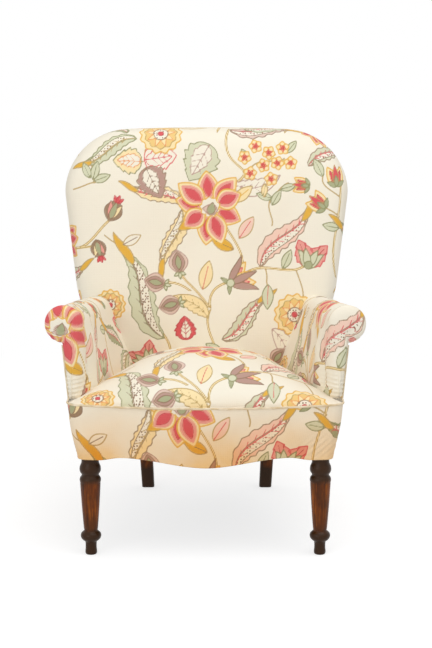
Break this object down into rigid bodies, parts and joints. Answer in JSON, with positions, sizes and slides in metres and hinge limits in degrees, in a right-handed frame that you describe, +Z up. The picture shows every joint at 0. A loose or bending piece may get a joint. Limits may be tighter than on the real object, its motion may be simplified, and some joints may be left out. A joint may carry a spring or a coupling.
{
  "type": "armchair",
  "caption": "Upholstered armchair with a high rounded back, rolled arms, a sprung seat and turned front legs, covered in a trailing floral print.",
  "frame": {"origin": "on the floor, in the middle of the chair's outline in plan", "axes": "+Z up, the chair's height; +Y to the chair's back; +X to the right of someone who looks at its front"},
  "size_m": [0.74, 0.7304, 0.943],
  "materials": {
    "printed_cloth": "cream cotton and linen cloth with a printed trailing floral, slight satin",
    "cord_cloth": "the same cloth over a round cord",
    "show_wood": "dark polished hardwood",
    "frame_wood": "plain beech, unpolished",
    "spring_steel": "coppered spring wire, dull",
    "jute_webbing": "woven jute",
    "hessian": "open plain weave",
    "stuffing": "curled hair under a thin wadding",
    "dust_cloth": "matt black cotton"
  },
  "bodies": {
    "root": {"front_leg_left": "show_wood", "rear_leg_left": "show_wood", "front_leg_right": "show_wood", "rear_leg_right": "show_wood", "seat_rail_front": "frame_wood", "seat_rail_left": "frame_wood", "seat_rail_right": "frame_wood", "seat_rail_back": "frame_wood", "stay_rail_back": "frame_wood", "crest_rail": "frame_wood", "glue_block_front_left": "frame_wood", "glue_block_back_left": "frame_wood", "glue_block_front_right": "frame_wood", "glue_block_back_right": "frame_wood", "arm_stump_left": "frame_wood", "arm_board_left": "frame_wood", "arm_lower_rail_left": "frame_wood", "arm_stump_right": "frame_wood", "arm_board_right": "frame_wood", "arm_lower_rail_right": "frame_wood", "webbing_lengthwise_1": "jute_webbing", "webbing_lengthwise_2": "jute_webbing", "webbing_lengthwise_3": "jute_webbing", "webbing_crosswise_1": "jute_webbing", "webbing_crosswise_2": "jute_webbing", "webbing_crosswise_3": "jute_webbing", "seat_spring_1": "spring_steel", "seat_spring_2": "spring_steel", "seat_spring_3": "spring_steel", "seat_spring_4": "spring_steel", "seat_spring_5": "spring_steel", "seat_spring_6": "spring_steel", "seat_spring_7": "spring_steel", "seat_spring_8": "spring_steel", "seat_spring_9": "spring_steel", "seat_hessian": "hessian", "seat_stuffing": "stuffing", "seat_cover": "printed_cloth", "front_border": "printed_cloth", "seat_cord": "cord_cloth", "inside_arm_cover_left": "printed_cloth", "outside_arm_cover_left": "printed_cloth", "arm_stuffing_left": "stuffing", "arm_cord_left": "cord_cloth", "inside_arm_cover_right": "printed_cloth", "outside_arm_cover_right": "printed_cloth", "arm_stuffing_right": "stuffing", "arm_cord_right": "cord_cloth", "back_hessian": "hessian", "back_stuffing": "stuffing", "inside_back_cover": "printed_cloth", "outside_back_cover": "printed_cloth", "back_cord": "cord_cloth", "dust_cloth": "dust_cloth"}
  },
  "joints": []
}
